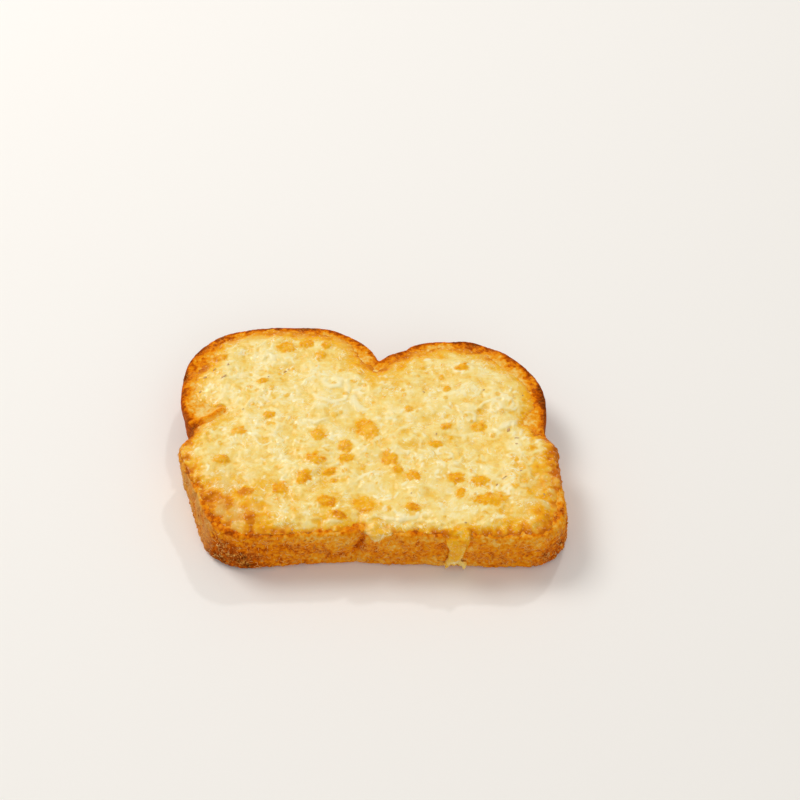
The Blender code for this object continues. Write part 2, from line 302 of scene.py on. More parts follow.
# the crack's middle in mm along the front
crack_x = -0.2 - 1.5 * fall - 4.6 * fall**2 + 0.3 * ripple(bread_points, 3, 8)
in_front = ramp(bread_points[:, 1], -34, -38)
across = bread_points[:, 0] - crack_x
crack = in_front * np.exp(-((across / CRACK_HALF_WIDTH) ** 2))
crack = crack * ramp(fall, 0.85, 0.6) * ramp(fall, 0.02, 0.14)
crack_lip = in_front * np.exp(-(((across - LIP_AT) / LIP_HALF_WIDTH) ** 2)) * ramp(fall, 0.9, 0.2)
bread_lift += LIP_HEIGHT * crack_lip - CRACK_DEPTH * crack
fold = np.full(len(bread_points), 99.0)
for start, end in zip(FOLD, FOLD[1:]):
    fold = np.minimum(fold, from_bar(bread_points, start, end))
fold_ridge = np.exp(-((fold / FOLD_HALF_WIDTH) ** 2)) * bread_top
bread_lift = bread_lift * (1 - 0.7 * fold_ridge) + FOLD_HEIGHT * fold_ridge
bread_lift *= ramp(bread_points[:, 2], 0.0, 0.6) * 0.9 + 0.1  # the underside stays nearly flat
move_points(bread.data, bread_points + bread_normals * bread_lift[:, None])
print("bread relief from", round(bread_lift.min(), 2), "to", round(bread_lift.max(), 2), "mm")

# %% [markdown]
# ## How far the bread is toasted
# One number per point, from 0 for pale crumb to 1 for nearly burnt, is easier to control than
# painted colours: the material turns it into a colour later. The crown's skin is dark, with a darker
# line where it meets the cut face, and the pan crust is mid brown with dark lower corners. On the left
# side wall the pan crust is a little paler, as painted light. Three more numbers mark tan dust on the
# crown's wall together with a painted shade of tan on the left side wall, torn crumb and the fibres on
# it.

# %% Scorched places
# (x, y, z, radius) in mm and how much darker
SCORCHED = (
    ((-43, -43, 1, 11), 0.28),
    ((-34, -43, 5, 15), 0.14),
    ((60, -38, 2, 9), 0.26),
    ((-54, 24.5, 16, 4), 0.34),
    ((-54, 32, 15, 5), 0.2),
    ((-45, 38, 16, 5), 0.2),
    ((33, 37, 16, 4), 0.3),
    ((52, 24, 16, 9), 0.1),
    ((57, 10, 15, 8), 0.12),
)


def near(points, middle, radius):
    gap = np.linalg.norm(points - np.array(middle), axis=1)
    return np.exp(-((gap / radius) ** 2))


scorch = sum(amount * near(bread_points, (x, y, z), radius) for (x, y, z, radius), amount in SCORCHED)
print("scorched places:", len(SCORCHED), "darker by up to", round(float(scorch.max()), 2))

# %% Toast on the bread
PAN, CROWN, CUT_FACE, FOLDED, UNDERSIDE = 0.38, 0.8, 0.2, 0.48, 0.36  # how far each is toasted
left_side = ramp(bread_normals[:, 0], -0.6, -0.9)
pan_wall = PAN + 0.1 * ramp(fall, 0.06, 0.36) + 0.1 * ripple(bread_points, 6, 9, 3)
# painted light: the pan crust on the left side wall is made a little paler, as if lit more
pan_wall -= 0.04 * left_side
crown_wall = CROWN + 0.08 * ripple(bread_points, 7, 10)
side_toast = pan_wall + (crown_wall - pan_wall) * bread_crown
face_toast = CUT_FACE + 0.3 * ramp(bread_in, 6, 1.5) + 0.26 * ripple(bread_points, 3.2, 11, 3)
face_toast += 0.3 * bread_crown * ramp(bread_in + 0.8 * ripple(bread_points, 4, 13), 2.2, 0.5)
face_toast += (FOLDED - face_toast) * fold_ridge
under_toast = UNDERSIDE + 0.14 * ripple(bread_points, 12, 12, 3) + 0.25 * ramp(bread_in, 5, 0)
bread_toast = bread_side * side_toast + (1 - bread_side) * (
    bread_top * face_toast + (1 - bread_top) * under_toast
)
bread_toast += scorch
bread_toast += 0.22 * crack + 0.1 * pits * rough - 0.1 * ramp(net, 0.75, 1) * rough
store(bread.data, "toast", bread_toast)
print("toast on the bread, mean:", mean_of(bread_toast))

# %% Dust, painted shade, torn and fibrous places on the bread
dusty = 0.36 * bread_crown * bread_side * ramp(ripple(bread_points, 6, 14, 3), -0.1, 0.5)
# painted shade: the pan crust on the left side wall is given a duller tan
left_side_painted_shade = left_side * (1 - bread_crown) * (0.7 + ripple(bread_points, 5, 14, 2))
store(bread.data, "tan", left_side_painted_shade + dusty)
store(bread.data, "torn", rough)
store(bread.data, "fibre", ramp(fine_net * 0.6 + net * 0.4, 0.72, 0.98) * rough)
bread.data.shade_smooth()
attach(bread, "root")
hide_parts("bread_slice")
print("bread carries:", [layer.name for layer in bread.data.attributes if layer.domain == "POINT"])

# %% [markdown]
# ## The cheese, first as a lump
# Grated cheese melts to a skin one to three millimetres thick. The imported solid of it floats 0.4 mm
# over the bread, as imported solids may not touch. So its underside is pushed down into the bread
# first. Then there is no gap to see at its border, and the remesh has a thick shape to work on.

# %% Cheese lump
UNDERSIDE_WITHIN = 0.8  # mm from the bread
SINK = 1.8  # mm
cage = packed_cage("melted_cheese")
cage.verts.ensure_lookup_table()
under = set()
for vertex in cage.verts:
    place, normal, _, gap = bread_surface.find_nearest(vertex.co)
    if gap < UNDERSIDE_WITHIN * MM:
        under.add(vertex)
border = [
    (edge.verts[0].co + edge.verts[1].co) / 2 / MM - Vector(FACE_MIDDLE)
    for edge in cage.edges
    if (edge.verts[0] in under) != (edge.verts[1] in under)
]
for vertex in under:
    place, normal, _, gap = bread_surface.find_nearest(vertex.co)
    vertex.co = place - normal * SINK * MM
print("points pushed into the bread:", len(under), "border points:", len(border))

# %% [markdown]
# At the front a run of cheese hangs down the crust. It parted into strings as it cooled. The packed
# solid has it as one tongue. Its lower half is drawn back into the bread here and strings take its
# place: tubes along short curves, each thick at its root and thin at its tip. The dip of cheese over
# the edge beside the crack is drawn the same way, as a row of short tubes that are longest in the
# middle. The remesh melts them together with the rest.

# %% Strings and dip
RUN_MIDDLE, RUN_HALF_WIDTH, RUN_PARTS_AT = 27.6, 5, 11  # mm along the front, and up
# each string: points (x, out from the crust, z) and the radius there, all mm
STRINGS = (
    (
        (26.2, 0.0, 15.8, 1.5), (26.4, 0.7, 10, 1.3), (25.6, 0.9, 5, 1.2),
        (24.7, 1.1, 1.8, 0.6), (24.3, 1.3, 0.5, 0.25),
    ),
    ((28.2, 0.0, 15.8, 1.6), (28.0, 0.7, 10, 1.3), (27.5, 0.8, 6, 1.3), (27.0, 0.9, 3.0, 0.8)),
    ((29.4, 0.0, 13.0, 0.9), (29.0, 0.6, 9, 0.8), (28.7, 0.8, 5, 0.7), (28.7, 0.9, 2.4, 0.4)),
    ((30.4, 0.2, 4.4, 0.8), (30.4, 0.7, 3.2, 1.0), (30.2, 1.1, 1.8, 0.7), (29.9, 1.5, 0.5, 0.25)),
    ((25.0, 0.6, 4.6, 0.7), (24.2, 1.0, 3.4, 0.5), (23.2, 1.2, 2.6, 0.35)),
)
DIP_MIDDLE = 4.2  # mm along the front
DIP = (
    ((0.6, -0.6, 16, 1.0), (0.9, -0.1, 14.4, 0.5)), ((2.2, -0.6, 16, 1.2), (2.9, -0.1, 12.6, 0.6)),
    ((4.0, -0.6, 16, 1.3), (4.5, -0.1, 10.6, 0.6)), ((6.0, -0.6, 16, 1.2), (5.7, -0.1, 12.6, 0.6)),
    ((7.8, -0.6, 16, 1.0), (7.2, -0.1, 14.4, 0.5)),
)
print("strings:", len(STRINGS), "tubes in the dip:", len(DIP))

# %% Tubes along curves
EDGE_ROUNDS_AT = 11  # mm up the crust
TUBE_RINGS, TUBE_SIDES = 14, 10


def front_of(x, z):
    """The outermost y of the pan crust at that x and height, in mm."""
    start = Vector((x + FACE_MIDDLE[0], -70, min(z, EDGE_ROUNDS_AT))) * MM
    hit = bread_surface.ray_cast(start, Vector((0, 1, 0)))[0]
    return hit.y / MM - FACE_MIDDLE[1]


def add_tube(cage, stations, count, sides):
    """A closed tube of count rings along stations (x, y, z, radius) in mm."""
    stations = np.array(stations, float)
    spots = np.linspace(0, len(stations) - 1, count)
    curve = np.stack(
        [np.interp(spots, np.arange(len(stations)), stations[:, k]) for k in range(4)], 1
    )
    curve[1:-1] = (curve[:-2] + 2 * curve[1:-1] + curve[2:]) / 4
    along = np.gradient(curve[:, :3], axis=0)
    along /= np.linalg.norm(along, axis=1, keepdims=True)
    least = np.eye(3)[np.argmin(np.abs(along.mean(0)))]
    right = np.cross(along, least)
    right /= np.linalg.norm(right, axis=1, keepdims=True)
    up = np.cross(right, along)
    turn = np.arange(sides) / sides * 2 * math.pi
    rings = []
    for k in range(count):
        ring = np.outer(np.cos(turn), right[k]) + np.outer(np.sin(turn), up[k])
        ring = curve[k, :3] + curve[k, 3] * ring + FACE_MIDDLE
        rings.append([cage.verts.new(point * MM) for point in ring])
    for first, second in zip(rings, rings[1:]):
        for k in range(sides):
            after = (k + 1) % sides
            cage.faces.new((first[k], second[k], second[after], first[after]))
    cage.faces.new(rings[0])
    cage.faces.new(rings[-1][::-1])


for vertex in cage.verts:
    x, z = vertex.co.x / MM - FACE_MIDDLE[0], vertex.co.z / MM
    if abs(x - RUN_MIDDLE) < RUN_HALF_WIDTH and z < RUN_PARTS_AT and vertex.co.y < -30 * MM:
        place, normal, _, _ = bread_surface.find_nearest(vertex.co)
        vertex.co = place - normal * SINK * MM
for string in STRINGS + DIP:
    stations = [(x, front_of(x, z) - out, z, radius) for x, out, z, radius in string]
    add_tube(cage, stations, TUBE_RINGS, TUBE_SIDES)
bmesh.ops.recalc_face_normals(cage, faces=cage.faces)
print("faces in the lump with its tubes:", len(cage.faces))

# %% Fine cheese mesh
CHEESE_VOXEL = 0.37  # mm
cheese = remeshed("cheese", cage, CHEESE_VOXEL)
cheese_points = relaxed(cheese.data, points_of(cheese.data), 3)
move_points(cheese.data, cheese_points)
print("cheese:", len(cheese.data.polygons), "squares before its underside is removed")

# %% [markdown]
# Only the part of the lump that lies above the bread is ever seen. So the height over the bread is
# measured at each point and everything deep inside is removed. Later the hole is closed with a fan
# of faces to one point in the middle of the bread. That spends the points where they show.

# %% Height over the bread
def over_bread(points):
    """Height over the bread's surface in mm, below zero inside it, and that surface's normals."""
    heights = np.empty(len(points))
    normals = np.empty((len(points), 3))
    for index, point in enumerate((points + FACE_MIDDLE) * MM):
        place, normal, _, gap = bread_surface.find_nearest(point)
        inside = (Vector(point) - place).dot(normal) < 0
        heights[index] = -gap / MM if inside else gap / MM
        normals[index] = normal
    return heights, normals


KEPT_DEPTH = 0.9  # mm
heights, _ = over_bread(cheese_points)
cage = cage_of(cheese.data)
cage.verts.ensure_lookup_table()
deep = [cage.verts[k] for k in np.flatnonzero(heights < -KEPT_DEPTH)]
bmesh.ops.delete(cage, geom=deep, context="VERTS")
loose = [vertex for vertex in cage.verts if not vertex.link_faces]
bmesh.ops.delete(cage, geom=loose, context="VERTS")
cage.to_mesh(cheese.data)
cage.free()
cheese_points = points_of(cheese.data)
cheese_normals = normals_of(cheese.data)
heights, bread_below = over_bread(cheese_points)
print("cheese:", len(cheese.data.polygons), "squares kept")

# %% [markdown]
# ## The border of the cheese
# Melted cheese thins out to nothing at its border, unevenly, and bare bread shows in bays. Each point
# is lowered by how near it is to the border of the imported solid, with noise in the distance. Where
# the surface ends up under the bread, the bread shows. A few bays are listed: the folds of bare
# crust at both pinches, the shadowed pocket under the cleft and the notch at the crack. The run and
# the dip reach over the edge, so most of their thickness is kept.

# %% Distance to the border
border_tree = tree_of(border)
to_border = np.array([border_tree.find(point)[2] for point in cheese_points])
print("farthest from the border, mm:", round(float(to_border.max()), 1))

# %% Cover of the cheese
# bare bays as bars with round ends: (x, y) to (x, y) and half width in mm
BAYS = (
    ((-60, 1.4), (-55, 2.8), 1.7), ((-55, 2.8), (-50.5, 4.8), 1.6),
    ((-50.5, 4.8), (-47, 8), 1.3), ((59, 1.2), (53.5, 2.2), 1.6),
    ((3.5, 33), (4.5, 29.5), 2.2), ((-1.8, -44), (-2.6, -41.5), 1.3),
)
cheese_x, cheese_y, cheese_z = cheese_points.T
ragged = 0.55 * ripple(cheese_points, 3.2, 21, 2)
pan_side = 1 - ramp(cheese_y, -6, 4)
# how many mm the cheese takes to reach its full thickness
feather = 9 - 3.6 * pan_side - 4 * near(cheese_points, (-51, 6, 16), 8)
feather = np.maximum(feather - 4 * near(cheese_points, (4, 30, 16), 6), 1.5)
cover = np.clip((to_border + 0.3 + ragged * (1.6 + 2.2 * pan_side)) / feather, 0, 1) ** 0.6
for start, end, half_width in BAYS:
    gap = from_bar(cheese_points, start, end) - half_width + 0.6 * ragged
    cover = np.minimum(cover, ramp(gap, -0.3, 1.7))
print("share of the cheese at full thickness:", mean_of(cover > 0.95))

# %% Cover of the run and the dip
run_zone = ramp(np.abs(cheese_x - RUN_MIDDLE), 5.2, 3.4) * ramp(cheese_y, -36, -40)
cover = np.maximum(cover, run_zone * (heights > 0))
# half width of the dip in mm: it narrows down to its tip
dip_half = 0.8 + 4.0 * np.clip((cheese_z - 10) / 5.6, 0, 1) + 0.6 * ragged
dip_zone = ramp(np.abs(cheese_x - DIP_MIDDLE), dip_half + 0.4, dip_half - 1.2)
dip_zone *= ramp(cheese_y, -38, -40)
cover = np.maximum(cover, 0.72 * dip_zone * (heights > 0))
print("points in the run and the dip:", int((run_zone > 0.5).sum()), int((dip_zone > 0.5).sum()))

# %% [markdown]
# ## Shreds
# The cheese went on as shreds about a millimetre wide and up to a centimetre long. They don't melt
# completely: each leaves a soft ridge, whose pale shine is partly painted into its colour later on.
# Thousands of short curved strokes are drawn into a height map over the cut face, keeping the higher
# value where two cross, and the mesh reads its height from the map.

# %% Height map
MAP_STEP = 0.2  # mm
MAP_CORNER = np.array([-66.0, -50.0])  # mm
MAP_SIZE = (500, 660)  # rows and columns
BACK, REACH = 1.5, 1.6  # half widths at which a round back and its stamp end


def stamp(relief, x, y, half_width, height):
    """Presses round backs into the map along strokes: x, y and height have a row per stroke."""
    reach = int(half_width.max() * REACH / MAP_STEP) + 1
    column = (x - MAP_CORNER[0]) / MAP_STEP
    row = (y - MAP_CORNER[1]) / MAP_STEP
    for right in range(-reach, reach + 1):
        for up in range(-reach, reach + 1):
            j = np.clip(np.round(column).astype(int) + right, 0, MAP_SIZE[1] - 1)
            i = np.clip(np.round(row).astype(int) + up, 0, MAP_SIZE[0] - 1)
            gap = np.hypot(j - column, i - row) * MAP_STEP / half_width
            back = np.sqrt(np.clip(1 - (gap / BACK) ** 2, 0, 1)) * height
            np.maximum.at(relief, (i.ravel(), j.ravel()), back.ravel())


def read_map(relief, points):
    """The map's height under each point, blended between its four cells."""
    place = (points[:, :2] - MAP_CORNER) / MAP_STEP
    column = np.clip(place[:, 0], 0, MAP_SIZE[1] - 2)
    row = np.clip(place[:, 1], 0, MAP_SIZE[0] - 2)
    j, i = column.astype(int), row.astype(int)
    right, up = column - j, row - i
    low = relief[i, j] * (1 - right) + relief[i, j + 1] * right
    high = relief[i + 1, j] * (1 - right) + relief[i + 1, j + 1] * right
    return low * (1 - up) + high * up


print("map size in mm:", [side * MAP_STEP for side in MAP_SIZE])

# %% Shreds, wisps and curls
# how many, length and half width in mm, seed
SHREDS = (2600, (2, 7), (0.22, 0.42), 5)
WISPS = (4200, (0.8, 3), (0.13, 0.24), 6)
CURLS = (2300, (1.2, 4.2), (0.22, 0.36), 7)
STROKES_OVER = (64, 48)  # mm from the middle, a little more than the slice


def draw_strokes(count, lengths, half_widths, seed):
    """A height map, 0 to 1, of round-backed strokes with random place, turn and bend."""
    draw = np.random.default_rng(seed)
    steps = 36
    length = draw.uniform(*lengths, count)[:, None]
    width = draw.uniform(*half_widths, count)[:, None]
    height = draw.uniform(0.15, 1, count)[:, None] ** 1.5
    turn = draw.uniform(0, 2 * math.pi, count)[:, None]
    bend = draw.normal(0, 0.28, count)[:, None]
    wiggle = draw.uniform(0, 0.5, count)[:, None]
    run = np.linspace(-0.5, 0.5, steps)[None] * length
    turn = turn + bend * run + wiggle * np.sin(run * 1.7)
    x, y = (draw.uniform(-half, half, count)[:, None] for half in STROKES_OVER)
    x = x + np.cumsum(np.cos(turn) * length / steps, 1)
    y = y + np.cumsum(np.sin(turn) * length / steps, 1)
    taper = np.sin(np.linspace(0.12, math.pi - 0.12, steps))[None] ** 0.5
    relief = np.zeros(MAP_SIZE)
    stamp(relief, x, y, width, taper * height)
    return relief


shreds, wisps, curls = (
    read_map(draw_strokes(*strokes), cheese_points) for strokes in (SHREDS, WISPS, CURLS)
)
# curls gather in clusters, and shreds and wisps fade where the cheese melted more
curls = curls * ramp(ripple(cheese_points, 8, 24, 3), -0.02, 0.32)
unmelted = ramp(ripple(cheese_points, 13, 23, 2), -0.35, 0.25)
shreds *= 0.35 + 0.65 * unmelted
wisps *= 0.2 + 0.8 * unmelted
print("strokes drawn:", SHREDS[0] + WISPS[0] + CURLS[0], "mean of the shreds:", mean_of(shreds))

# %% [markdown]
# A few thick strings and loops of curd are large enough to notice one by one, so they have set
# places: a white ridge and a swirl in the middle, loops on the right lobe and pale folds in front.

# %% Loops and ridges with set places
# half width in mm, then the points (x, y)
RIDGES = (
    (0.7, ((-3.5, 15.5), (-4.3, 11.5), (-2.7, 8.8), (0.1, 6.8))),
    (0.35, ((-3.3, 16.4), (-1.7, 13.6))), (0.3, ((-20, 3), (-16, 1.4), (-12, 3))),
    (0.5, ((-13.9, 21.5), (-14.3, 19.1), (-12.1, 17.3), (-9.3, 17.9), (-8.8, 20.2), (-11.1, 21.7))),
    (0.4, ((-18.9, 16.6), (-15.9, 11.8), (-11.2, 9.9), (-7.1, 11.8), (-5.9, 17), (-7.4, 22.6))),
    (0.35, ((39.9, 7.3), (41.2, 6), (43.1, 7.3), (42.7, 9.7), (40.9, 10.3), (39.9, 7.3))),
    (0.35, ((44, 7.3), (45.8, 7.3), (47.1, 9.1), (46.1, 11.6), (44.2, 11), (44, 7.3))),
    (0.3, ((34.8, 6), (37.7, 9.7), (42.4, 11.6), (46.5, 12))),
    (0.6, ((41.7, -1.2), (44.5, 0.6), (47.3, 1.8), (51.2, 4.8))),
    (0.35, ((32, 4.8), (32.3, 2.4), (34.2, 2.4), (34.7, 4.8), (33.4, 6))),
    (0.35, ((-34.7, 29.5), (-33.4, 31.8), (-31.4, 30.8), (-30.8, 28.2))),
    (0.35, ((-3.1, -22.5), (-0.5, -19.7), (2.1, -18.6), (6.1, -18))),
    (0.4, ((3.3, -35), (8, -36.4), (13, -36.4), (21.2, -33.9))),
    (0.35, ((-12.4, -37.2), (-6.5, -36.8), (-3, -37.8))), (0.5, ((22.4, -14.6), (23.8, -15.4))),
    (0.5, ((27.2, -15), (28.6, -15.8))),
)
RIDGE_SPREAD, RIDGE_STEPS = 1.4, 60
ridge_map = np.zeros(MAP_SIZE)
for half_width, places in RIDGES:
    places = np.array(places, float)
    spots = np.linspace(0, len(places) - 1, RIDGE_STEPS)
    x, y = (np.interp(spots, np.arange(len(places)), places[:, k])[None] for k in range(2))
    taper = np.sin(np.linspace(0.2, math.pi - 0.2, RIDGE_STEPS))[None] ** 0.5
    stamp(ridge_map, x, y, np.array([[RIDGE_SPREAD * half_width]]), taper)
ridges = read_map(ridge_map, cheese_points)
curls = np.maximum(curls, 0.45 * ridges)
print("loops and ridges with set places:", len(RIDGES))

# %% [markdown]
# ## Blisters
# Steam lifts the skin of the cheese into blisters, and these brown first because they stand nearest
# the grill. The large ones have set places. Small ones are scattered by a seeded draw. A blister is
# a low dome with a rough top and a ragged rim.

# %% Blisters
# (x, y), half width and half length in mm, turn in degrees
BIG_BLISTERS = (
    (0.5, -1, 2.9, 4.2, 25), (-15.5, -3.5, 2.3, 2.0, 0), (-6.5, -8, 1.9, 2.1, 0),
    (-6, -12.8, 2.0, 1.6, 0), (-15.5, -13.5, 2.9, 1.7, -10), (-18.8, -20.2, 1.9, 3.2, -35),
    (-11, -18.2, 2.1, 1.2, 15), (-9.7, -21.5, 1.0, 0.8, 0), (-25.7, -24.5, 2.2, 2.2, 0),
    (-40.2, -1.8, 2.0, 1.5, 0), (7.5, -13.2, 2.1, 2.6, 20), (10, -17.6, 1.5, 1.2, 0),
    (14.8, -20, 2.0, 2.1, 0), (13.5, 7.2, 1.4, 1.3, 0), (27.7, -20.8, 2.6, 1.7, 0),
    (35, -21.8, 2.7, 1.7, 10), (29, -26.5, 1.2, 2.0, -25), (38.5, -29, 4.3, 1.9, 8),
    (25.2, 0, 1.5, 1.3, 0), (35.5, 0, 1.8, 1.8, 0), (22, -7.5, 2.0, 1.2, -10),
    (-11.5, -29.8, 2.7, 2.0, 0), (-0.5, -30.5, 3.2, 2.6, -20), (14.5, -32, 2.2, 1.2, 0),
    (-7.7, -35, 2.6, 1.1, -25), (26, 16, 1.2, 1.3, 0), (31, 25.5, 2.2, 1.5, 0),
    (-34, 19.5, 1.7, 1.1, 0), (-31, 4.8, 1.8, 1.3, 0), (-27, 35, 2.8, 2.2, 0),
    (-20.5, 37, 2.4, 1.6, 25), (-14, 36, 1.4, 1.6, 0), (-15.5, 31.5, 1.5, 1.5, 0),
    (-49, 30.5, 2.2, 1.3, 0), (-54.5, 26.5, 2.8, 1.9, 20), (33, 34.5, 3.6, 2.0, 0),
    (-44.5, -13.5, 2.3, 1.5, 0), (-36, -26.5, 2.1, 1.6, 0), (-48, -26.5, 2.4, 1.8, 20),
    (-41.5, -31, 2.6, 1.8, -30), (-34, -36, 1.5, 2.6, 20), (-54.5, -19, 1.6, 3.0, 10),
)
BLISTER_SPREAD = 1.12  # the browned skin reaches past the dome


def blister_depth(points, x, y, wide, tall, turn):
    """1 in the middle of the blister, 0 at its rim and below 0 outside."""
    angle = math.radians(turn)
    right, up = points[:, 0] - x, points[:, 1] - y
    along = (right * math.cos(angle) + up * math.sin(angle)) / wide
    across = (up * math.cos(angle) - right * math.sin(angle)) / tall
    return 1 - np.hypot(along, across)


GRIT, WOBBLE = 0.9, 2.0  # widths in mm
grit = ripple(cheese_points, GRIT, 33)
wobble = 0.3 * ripple(cheese_points, WOBBLE, 31, 2) + 0.2 * grit
blister = np.full(len(cheese_points), -9.0)
for x, y, wide, tall, turn in BIG_BLISTERS:
    grown = blister_depth(cheese_points, x, y, BLISTER_SPREAD * wide, BLISTER_SPREAD * tall, turn)
    blister = np.maximum(blister, grown)
blister = blister + wobble
print("large blisters:", len(BIG_BLISTERS))

# %% Small blisters
SMALL_BLISTERS = 190
SMALL_BLISTER_SIZE = (0.5, 1.3)  # mm
draw = np.random.default_rng(8)
small = np.full(len(cheese_points), -9.0)
for _ in range(SMALL_BLISTERS):
    x, y = draw.uniform(-58, 58), draw.uniform(-41, 43)
    size = draw.uniform(*SMALL_BLISTER_SIZE)
    tall, turn = size * draw.uniform(0.6, 1), draw.uniform(0, 180)
    mark = blister_depth(cheese_points, x, y, size, tall, turn)
    small = np.maximum(small, mark * draw.uniform(0.3, 1))
small = small + wobble * 0.6
print("small blisters:", SMALL_BLISTERS)

# %% Cheese relief
SUNK_BY = 0.45  # mm under the bread's surface where the cover is zero
LOWEST = 0.15  # mm, keeps the run's strings off the plate
LUMP, BUBBLE = 5.5, 1.7  # widths in mm
dome = ramp(blister, -0.15, 0.7)
small_dome = ramp(small, 0, 0.5)
lumps = ripple(cheese_points, LUMP, 34, 2)
bubbles = ramp(ripple(cheese_points, BUBBLE, 35), 0.35, 0.6)
# the factors are heights in mm
cheese_lift = 0.26 * shreds + 0.1 * wisps + 0.34 * lumps + 0.2 * curls + 0.22 * ridges
cheese_lift += 0.5 * dome + 0.2 * small_dome + 0.05 * grit * (1 + dome) - 0.16 * bubbles
cheese_lift -= 0.25
cheese_points = cheese_points + cheese_normals * (cheese_lift * (0.25 + 0.75 * cover))[:, None]
sunk = (1 - cover) * (np.maximum(heights, 0) + SUNK_BY)
cheese_points = cheese_points - bread_below * sunk[:, None]
cheese_points[:, 2] = np.maximum(cheese_points[:, 2], LOWEST)
move_points(cheese.data, cheese_points)
print("cheese relief from", round(cheese_lift.min(), 2), "to", round(cheese_lift.max(), 2), "mm")

# %% [markdown]
# ## How far the cheese is browned
# As on the bread, one number per point says how far the heat got: 0 is pale and milky, 0.3 golden,
# 0.6 orange and 1 brown. It is highest on blisters, along the outer rim, where the cheese is thin,
# and in the lower left corner, which sat nearest the grill. In hollows and between the shreds it is
# raised a little more as painted shade. Noise of several widths breaks it up.

# %% Warm places
# (x, y), half width and half height in mm, strength
WARM = (
    (-44, -34, 14, 10, 0.44), (-49, -31, 9, 8, 0.2), (-55, -20, 5, 12, 0.3),
    (10, 28, 12, 6, 0.14), (-33, -38, 5, 5, 0.2), (28.5, -35, 6, 3.5, -0.1),
    (-10, 17, 9, 7, -0.07), (-54, 30, 6, 8, 0.42), (3, 31, 8, 5, 0.45),
    (20, 34, 10, 3.5, 0.3), (-32, 26, 16, 10, -0.05), (56, -4, 5, 5, 0.28),
    (61, -18, 6, 22, 0.75), (57, -24, 8, 14, 0.2), (-60, -7, 6, 9, 0.4),
    (50, -41, 13, 2.8, 0.35), (-38, -41, 12, 2.8, 0.3), (53, -39, 10, 5, 0.42),
    (25, -41, 16, 2.4, 0.36), (-20, -42, 20, 1.8, 0.36), (-18, 42, 18, 3.5, 0.26),
    (46, 30, 9, 5, 0.22), (5, 20, 6, 9, 0.12), (-8, -36, 14, 4, 0.1),
    (-50, 4, 8, 3, 0.14),
)
MOTTLE, PATCH, STREAK = 11, 4.2, 2.1  # widths in mm
cheese_x, cheese_y, cheese_z = cheese_points.T
mottle = ripple(cheese_points, MOTTLE, 41, 3)
patches = np.maximum(ripple(cheese_points, PATCH, 42, 2), -0.5)
streaks = ripple(cheese_points * (0.55, 1.3, 1), STREAK, 43, 2)
# painted shade: the cheese between the shreds is browned a little, standing in for the shade in those
# low spots
between_shreds_shade = ramp(shreds + 0.5 * wisps, 0.35, 0.0)  # the shreds
browned = 0.09 + 0.05 * mottle + 0.07 * patches + 0.05 * streaks + 0.06 * between_shreds_shade * unmelted
# painted shade: hollows of the relief are browned a little, standing in for the warm shade in them
browned += 0.14 * ramp(cheese_lift, 0, -0.5)  # hollows
for x, y, wide, tall, strength in WARM:
    reach = ((cheese_x - x) / wide) ** 2 + ((cheese_y - y) / tall) ** 2
    browned += strength * np.exp(-reach) * np.maximum(0.85 + 1.1 * patches + 0.5 * streaks, 0.3)
print("warm places:", len(WARM), "browning so far, mean:", mean_of(browned))

# %% Browned rim and blisters
rim_noise = ragged * (1.8 + 3.6 * pan_side)
# the band is wider on the crown than on the pan side, in mm
from_rim = from_edge(cheese_points) + rim_noise
rim_band = ramp(from_rim, 8.5 - 5.3 * pan_side, 3 - 2.0 * pan_side)
browned += rim_band * (0.26 + 0.12 * pan_side + 0.3 * patches) * (1 - 0.8 * dip_zone)
browned += 0.26 * ramp(cover + 0.3 * patches, 0.9, 0.2)  # thin cheese
browned += 0.1 * ramp(blister, -0.5, 0.0)  # a halo round each blister
inside = ramp(blister, -0.05, 0.16)
browned += inside * (0.34 + 0.2 * grit + 0.12 * ripple(cheese_points, 6, 44))
browned += 0.03 * ramp(blister, 0.1, 0.5)  # its middle
browned += 0.05 * ramp(np.abs(blister - 0.1), 0.12, 0.02)  # a ring inside its rim
browned += 0.24 * ramp(small, -0.05, 0.2)
print("browning with rim and blisters, mean:", mean_of(browned))

# %% Toast on the cheese
BROWNEST = 0.8  # where the toast number levels off, apart from the thin border
run_toast = 0.5 + 0.24 * patches - 0.2 * ramp(cheese_z, 8, 4)  # its ends are paler
browned += run_zone * ramp(cheese_z, 16, 14.5) * (run_toast - browned)
dip_toast = 0.32 + 0.3 * patches + 0.2 * ramp(cheese_z, 14.6, 11)  # its tip is browner
browned += dip_zone * ramp(cheese_z, 16.6, 15.2) * (dip_toast - browned)
browned = BROWNEST * np.tanh(browned / BROWNEST)
browned += 0.2 * ramp(cover + 0.25 * patches, 0.55, 0.1) * (1 - run_zone) * (1 - dip_zone)
store(cheese.data, "toast", browned)
print("browning, mean:", mean_of(browned))

# %% Dry places, and milky curd with painted highlights, on the cheese
corner = near(cheese_points, (-44, -33, 16), 12) + 0.6 * near(cheese_points, (57, -30, 16), 10)
dried = np.clip(corner + 0.6 * rim_band, 0, 1) * ramp(patches, 0.25, -0.2) * ramp(browned, 0.72, 0.5)
store(cheese.data, "dry", 0.75 * dried * (1 - run_zone))
# curls and shreds are whitened, partly as pale curd and partly as painted highlight standing in for
# glints on them
curd_white_and_glint = np.maximum(0.8 * ramp(curls, 0.15, 0.5), 0.25 * ramp(shreds, 0.3, 0.9))
curd_white_and_glint = curd_white_and_glint * ramp(browned, 0.36, 0.2)
store(cheese.data, "milky", curd_white_and_glint)
print("share of the cheese that is dry:", mean_of(dried > 0.5))

